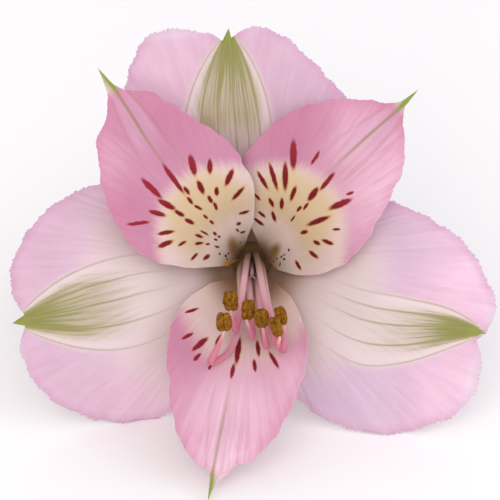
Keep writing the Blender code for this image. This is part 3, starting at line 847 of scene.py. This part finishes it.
# Where each filament stands in the ring in degrees, the lowest point of its hook, how much of the
# way sideways it has come at two places above the hook, how far it hangs there below an even
# curve, its anther's middle, length and width in mm, and its lean from upright in degrees
stamens = [
    dict(ring=120, hook=(-2.4, -10.4, 0.9), aside=(0.5, 0.86), dip=-0.5,
         anther=(-3.2, -5.8, 4.6), size=(3.1, 2.2), lean=4),
    dict(ring=180, hook=(-6.1, -15, 4.4), aside=(0.08, 0.42), dip=2.5,
         anther=(-4.2, -8.9, 7.4), size=(2.9, 2.3), lean=0),
    dict(ring=240, hook=(0.1, -11.2, 0.9), aside=(0.6, 0.9), dip=0,
         anther=(-0.6, -7.1, 4.6), size=(3.1, 1.9), lean=-6),
    dict(ring=300, hook=(2.1, -12.6, 1.6), aside=(0.45, 0.8), dip=0,
         anther=(1.4, -8.4, 5.3), size=(2.9, 2.1), lean=8),
    dict(ring=0, hook=(4.6, -13.2, 2.2), aside=(0.4, 0.8), dip=0,
         anther=(4.3, -8, 5.6), size=(2.9, 1.6), lean=18),
    dict(ring=60, hook=(3.8, -12.6, 4.8), aside=(0.45, 0.82), dip=-0.3,
         anther=(3.6, -9.6, 7.9), size=(3.2, 1.6), lean=18),
]


# The way an anther points: up across the face, leaning sideways, and out of the throat
def antherDirection(stamen):
    lean, pitch = math.radians(stamen["lean"]), math.radians(stamenForm["antherPitch"])
    flat = math.cos(pitch)
    return np.array([-math.sin(lean) * flat, math.cos(lean) * flat, math.sin(pitch)])


# From the ovary up through the throat in the bundle, fanning down, and hooked back up
def filamentRoute(stamen):
    ring, bundle = math.radians(stamen["ring"]), stamenForm["bundleRadius"]
    start = np.array([bundle * math.cos(ring), bundle * math.sin(ring), 0])
    hook = np.array(stamen["hook"])
    direction = antherDirection(stamen)
    foot = np.array(stamen["anther"]) - direction * (stamen["size"][0] / 2 + stamenForm["gap"])
    fanX, fanY = (hook - start)[:2]
    early, late = stamen["aside"]
    first, second, third = stamenForm["fanned"]
    high, low = stamenForm["underHook"]
    return np.array([
        start + (0, 0, -flowerFace["tubeDepth"]),
        start + (0, -0.2, stamenForm["bundleTop"]),
        start + (fanX * first, fanY * first, stamenForm["fanFrom"]),
        start + (fanX * early, fanY * second, hook[2] - high - stamen["dip"]),
        start + (fanX * late, fanY * third, hook[2] - low - stamen["dip"] * 0.5),
        hook,
        hook * 0.55 + foot * 0.45 + (0, 0, 0.35),
        foot,
        foot + direction * 0.7,
    ])


# A filament: rings along its route, a little flattened, thinning to its foot at the anther
def makeFilament(number, stamen, material):
    route, at = evenly(smoothCurve(filamentRoute(stamen)), stamenForm["filamentRings"])
    sides = stamenForm["filamentSides"]
    share = at / at[-1]
    slim = smoothStep(0.88, 0.99, share)
    radius = stamenForm["filamentRadius"] * (1 - slim) + stamenForm["footRadius"] * slim
    flattened = 1 + stamenForm["flattened"] * np.sin(evenTurn(sides)) ** 2
    points, faces = closedRings(ringsAlong(route, radius[:, None] * flattened, sides))
    # The height feeds the material's painted shade deep in the throat
    fields = dict(stalk=(np.append(np.repeat(share, sides), [0, 1]), points[:, 2], 0))
    makePiece(f"stamenFilament{number}", faceToWorld(points), faces, material,
              f"filament_{number}", fields)


# An anther: a blunt barrel, p the square root of the sine of the place along it, pinched along
# its middle so that two sacs show and notched at both ends, with lumps of pollen all over
def makeAnther(number, stamen, material):
    length, width = stamen["size"]
    thick = stamenForm["antherThickness"]
    way = antherDirection(stamen)
    across = unit(np.cross(way, (0, 0, 1)))
    deep = np.cross(way, across)
    phi = np.linspace(0.02, math.pi - 0.02, stamenForm["antherRings"])[:, None]
    turn = evenTurn(stamenForm["antherSides"])[None]
    p = np.sin(phi) ** 0.5
    sideways = p * np.cos(turn)
    seam = np.exp(-(sideways / stamenForm["seamWidth"]) ** 2)
    x = width / 2 * sideways
    y = thick / 2 * p * np.sin(turn) * (1 - stamenForm["seamDepth"] * seam)
    z = -length / 2 * np.cos(phi) * (1 - stamenForm["notchDepth"] * seam)
    body = np.stack([x, y, z], axis=-1)
    out = unit(body * (1 / width**2, 1 / thick**2, 1 / length**2))
    (coarse, coarseSize), (fine, fineSize) = stamenForm["grains"]
    grain = coarse * lumps(body, coarseSize, 40 + number) + fine * lumps(body, fineSize, 50 + number, 60)
    bend, bendSize = stamenForm["bend"]
    bent = bend * lumps(body, bendSize, 60 + number)[..., None] * np.array([1, 0.4, 0.6])
    body = body * stamenForm["antherSwell"] + bent + out * (grain * np.sin(phi) ** 0.3)[..., None]
    placed = np.array(stamen["anther"]) + body[..., :1] * across + body[..., 1:2] * deep + body[..., 2:] * way
    points, faces = closedRings(placed)
    fields = dict(pollen=(np.append(seam.ravel(), [0, 0]), np.append(grain.ravel(), [0, 0]) * 8 + 0.5, 0))
    makePiece(f"stamenAnther{number}", faceToWorld(points), faces, material,
              f"anther_{number}", fields)


# Filament flesh: a smooth moist strand. It gives the eye a soft shine on pale pink that deepens
# towards the hook. Deep in the throat it turns brown: painted shade. Low down its tone is duller,
# partly its own colour and partly painted shade. deepFrom is in mm, the rest in shares.
filamentLook = dict(
    throat="#cfa8a4", middle="#dbadb8", hook="#cd7a8e", foot="#dcaea4", deep="#6e5144",
    middleFrom=(0.42, 0.6), hookFrom=(0.62, 0.86), footFrom=(0.98, 1.03), deepFrom=(-5.5, -14),
    deepMost=0.9, roughness=0.38, ior=1.4, specular=0.5, bump=(0.4, 0.04), inside=(0.25, (1, 0.5, 0.5), 0.5),
)


def filamentFlesh():
    material, add = newMaterial("filament flesh")
    field = fieldParts(add, "stalk")
    fibres = add("Mapping", {0: add("TexCoord", out="Object"), 3: (900, 250, 250)})
    fibres = add("TexNoise", {0: fibres, "Scale": 1, "Detail": 3})
    uneven = add("Math", {0: fibres, 1: 0.08, 2: field[0]}, **timesPlus)
    layers = []
    # deep lays painted shade by depth in the throat
    for tone, value, most in (("middle", uneven, 1), ("hook", uneven, 1), ("foot", uneven, 1),
                              ("deep", field[1], filamentLook["deepMost"])):
        start, end = filamentLook[tone + "From"]
        mask = add("MapRange", {0: value, 1: start, 2: end, 4: most}, **eased)
        layers.append((mask, filamentLook[tone]))
    shaded(add, filamentLook, layered(add, filamentLook["throat"], layers), fibres)
    return material


# Pollen: dry grains dusted over a dark sac. It gives the eye golden crumbs with brown cracks
# between them, and no shine. A crumb's 0.16 mm is coarser than real grains, so that it shows.
pollenLook = dict(
    gold="#92590c", bright="#b37d20", dark="#402203", crumb=0.16, patchScale=1400,
    roughness=0.9, ior=1.5, specular=0.2, bump=(0.9, 0.05), inside=(0, (1, 1, 1), 0),
)


def pollen():
    material, add = newMaterial("dusted pollen")
    field = fieldParts(add, "pollen")
    place = add("TexCoord", out="Object")
    crumbs = add("TexVoronoi", {0: place, "Scale": 1 / (pollenLook["crumb"] * mm)}, 0)
    crumb = add("MapRange", {0: crumbs, 1: 0.15, 2: 0.62}, **eased)
    patches = add("TexNoise", {0: place, "Scale": pollenLook["patchScale"], "Detail": 3})
    patch = add("MapRange", {0: patches, 1: 0.35, 2: 0.65}, **eased)
    low = add("MapRange", {0: field[1], 1: 0.55, 2: -0.35}, **eased)
    seam = add("MapRange", {0: field[0], 1: 0.72, 2: 1, 4: 0.5}, **eased)
    layers = [(patch, pollenLook["bright"])]
    for mask, most in ((crumb, 0.5), (low, 0.6), (seam, 0.5)):
        layers.append((add("Math", {0: mask, 1: most}, **times), pollenLook["dark"]))
    shaded(add, pollenLook, layered(add, pollenLook["gold"], layers), crumbs, invert=True)
    return material


filamentMaterial = filamentFlesh()
pollenMaterial = pollen()
for number, stamen in enumerate(stamens, start=1):
    makeFilament(number, stamen, filamentMaterial)
    makeAnther(number, stamen, pollenMaterial)
print("stamens made")


# Style

styleForm = dict(
    radius=0.4, length=14.5, taper=0.25, rings=60, sides=16,
    route=[(0, 0, 0), (0, -0.2, 0.5), (0, -1.15, 0.9), (0, -1.9, 1)],     # x, y, share of the length
    lobeTurns=(90, 210, 330), lobeLength=1.1, lobeRadius=0.2, lobeRings=14, lobeSides=10,
)


# The column follows its route, and three short lobes curl out of its end 120 degrees apart
def makeStyle(material):
    bottom, length = -flowerFace["tubeDepth"], styleForm["length"]
    route = [(x, y, bottom + share * length) for x, y, share in styleForm["route"]]
    route, at = evenly(smoothCurve(route), styleForm["rings"])
    radius = styleForm["radius"] * (1 - styleForm["taper"] * at / at[-1])
    shapes = [closedRings(ringsAlong(route, radius[:, None], styleForm["sides"]))]
    reach = np.linspace(0, 1, styleForm["lobeRings"])[:, None]
    lobeRadius = styleForm["lobeRadius"] * np.sqrt(1.02 - reach)
    forward = unit(route[-1] - route[-4])
    for turned in np.radians(styleForm["lobeTurns"]):
        out = np.array([math.cos(turned), math.sin(turned) * 0.6, math.sin(turned) * 0.4])
        lobe = route[-1] - forward * 0.2 + (forward * reach + out * 0.55 * reach**2) * styleForm["lobeLength"]
        shapes.append(closedRings(ringsAlong(lobe, lobeRadius, styleForm["lobeSides"])))
    points, faces = joined(shapes)
    # The height feeds the filament flesh's painted shade deep in the throat
    fields = dict(stalk=((points[:, 2] - bottom) / length * 0.6, points[:, 2], 0))
    makePiece("styleColumn", faceToWorld(points), faces, material, "style", fields)


makeStyle(filamentMaterial)
print("style made")


# Ovary and stalk

ovaryForm = dict(
    radius=3.7, length=8, gap=0.1, ribs=6, ribHeight=0.16, rings=70, sides=120,
    profile=[     # share of the radius, share of the length
        (0.62, 0), (0.88, 0), (0.98, 0.1), (1, 0.28), (0.95, 0.5), (0.8, 0.72), (0.58, 0.9), (0.4, 1),
    ],
)
stalkForm = dict(
    radius=1.2, bendRadius=17, length=62, bow=1.5, ribs=7, ribHeight=0.09, rings=170, sides=56,
    gap=0.3,           # from the ovary's end to the stalk's, mm
    straightGap=0.75,  # from there the straight stretch down to the bend is measured, mm
    arcPoints=9,
    cutRims=(0.08, 0.45),  # share of the way in to the cut's middle
    cutBulge=0.05,         # mm
)


# The profile turned round the flower's axis, pressed in between six ribs: the radius drops by
# the rib height times the sine of three times the angle, without its sign and to the power 0.7
def makeOvary(material):
    top = -flowerFace["tubeDepth"] - ovaryForm["gap"]
    profile = evenly(smoothCurve(ovaryForm["profile"]), ovaryForm["rings"])[0]
    share, down = profile[:, :1], profile[:, 1:]
    turn = evenTurn(ovaryForm["sides"])
    between = np.abs(np.sin(ovaryForm["ribs"] / 2 * turn)) ** 0.7
    swell = np.sin(math.pi * np.clip(down, 0, 1)) ** 0.5
    radius = ovaryForm["radius"] * share * (1 - ovaryForm["ribHeight"] * swell * between)
    depth = np.broadcast_to(top - down * ovaryForm["length"], radius.shape)
    points, faces = closedRings(np.stack([radius * np.cos(turn), -radius * np.sin(turn), depth], axis=-1))
    ribs = np.append(np.broadcast_to(1 - between, radius.shape), [0, 0])
    fields = dict(stalk=(ribs, np.append(np.broadcast_to(down, radius.shape), [-1, 1]), 0))
    makePiece("ribbedOvary", faceToWorld(points), faces, material, "ovary", fields, 60)


# The stalk's route in world mm: in line with the ovary down to its bend, an arc until it lies
# level, then along the floor with a slight sideways bow
def stalkRoute():
    tilt = math.radians(flowerFace["turnedUp"])
    bend = stalkForm["bendRadius"]
    ovaryEnd = -flowerFace["tubeDepth"] - ovaryForm["length"]
    joint = faceToWorld((0, 0, ovaryEnd - stalkForm["gap"])) / mm
    straightFrom = faceToWorld((0, 0, ovaryEnd - stalkForm["straightGap"])) / mm
    drop = bend * (1 - math.cos(tilt))
    slope = (straightFrom[2] - stalkForm["radius"] - drop) / math.sin(tilt)
    bendFrom = straightFrom + slope * np.array([0, math.cos(tilt), -math.sin(tilt)])
    count = stalkForm["arcPoints"]
    angle = tilt * (1 - np.linspace(0, 1, count))
    arc = bendFrom + bend * np.stack([
        np.zeros(count), math.sin(tilt) - np.sin(angle), math.cos(tilt) - np.cos(angle)], axis=-1)
    share = np.linspace(0, 1, count + 1)[1:]
    flat = stalkForm["length"] - slope - bend * tilt
    lying = arc[-1] + np.stack([
        stalkForm["bow"] * (1 - np.cos(math.pi * share)) / 2, flat * share, np.zeros(count)], axis=-1)
    return np.vstack([joint, (joint + arc[0]) / 2, arc, lying])


# Rings along the route, pressed in a little between fine ribs, with a crisp cut end
def makeStalk(material):
    route, at = evenly(smoothCurve(stalkRoute()), stalkForm["rings"])
    sides = stalkForm["sides"]
    between = 0.5 - 0.5 * np.cos(stalkForm["ribs"] * evenTurn(sides))
    waist = 1 - 0.05 * (0.5 + 0.5 * np.sin(at / 7)) - 0.1 * smoothStep(8, 30, at)
    radius = stalkForm["radius"] * waist[:, None] * (1 - stalkForm["ribHeight"] * between)
    route[:, 2] -= stalkForm["radius"] * (1 - waist) * smoothStep(12, 22, at)     # still lies on the floor
    rings = ringsAlong(route, radius, sides)
    toMiddle = rings[-1].mean(0) - rings[-1]
    rims = [rings[-1] + toMiddle * share + (0, stalkForm["cutBulge"], 0) for share in stalkForm["cutRims"]]
    points, faces = closedRings(np.concatenate([rings, rims]))
    ribs = np.append(np.tile(1 - between, len(rings) + len(rims)), [0, 0])
    down = np.append(np.repeat(np.append(at / at[-1], [1.02, 1.06]), sides), [0, 1.1])
    makePiece("flowerStalk", points * mm, faces, material, "stem", dict(stalk=(ribs, down, 0)), 50)


# Green stem skin: waxy and finely ribbed, grown in long cells. It gives the eye a broad soft
# shine, paler ribs, and short streaks along the stalk. The top is dull, and its dark brown is
# painted shade: deep in the throat on the ovary, and under the ovary on the stalk.
stemLook = dict(
    green="#7f9a45", dark="#5f7f33", rib="#a4b867", blush="#a97862", cut="#d5dca4", top="#6e5836",
    ior=1.45, bump=(0.5, 0.05), inside=(0.1, (0.6, 1, 0.3), 0.5),
)


def stemSkin(name, blushed):
    material, add = newMaterial(name)
    field = fieldParts(add, "stalk")
    place = add("TexCoord", out="Object")
    streaks = add("Mapping", {0: place, 3: (1500, 220, 1500)})
    streaks = add("TexNoise", {0: streaks, "Scale": 1, "Detail": 3})
    patches = add("TexNoise", {0: place, "Scale": 260, "Detail": 3})
    streak = add("MapRange", {0: streaks, 1: 0.35, 2: 0.65}, **eased)
    rib = add("MapRange", {0: field[0], 1: 0.35, 2: 1, 4: 0.7}, **eased)
    blush = add("MapRange", {0: field[1], 1: blushed, 2: 0, 4: 0.6}, **eased)
    blush = add("Math", {0: blush, 1: patches}, **times)
    # Painted shade: the top turns dark brown
    top = add("MapRange", {0: field[1], 1: 0.16, 2: 0.06}, **eased)
    cut = add("MapRange", {0: field[1], 1: 1.005, 2: 1.03})
    masks = dict(dark=streak, rib=rib, blush=blush, top=top, cut=cut)
    shown = layered(add, stemLook["green"], [(mask, stemLook[key]) for key, mask in masks.items()])
    roughness = add("MapRange", {0: top, 3: 0.42, 4: 0.95})
    specular = add("MapRange", {0: top, 3: 0.5, 4: 0.05})
    shaded(add, dict(stemLook, roughness=roughness, specular=specular), shown, streaks)
    return material


makeOvary(stemSkin("waxy ovary skin", 0.35))
makeStalk(stemSkin("waxy stalk skin", 0.12))
print("ovary and stalk made")
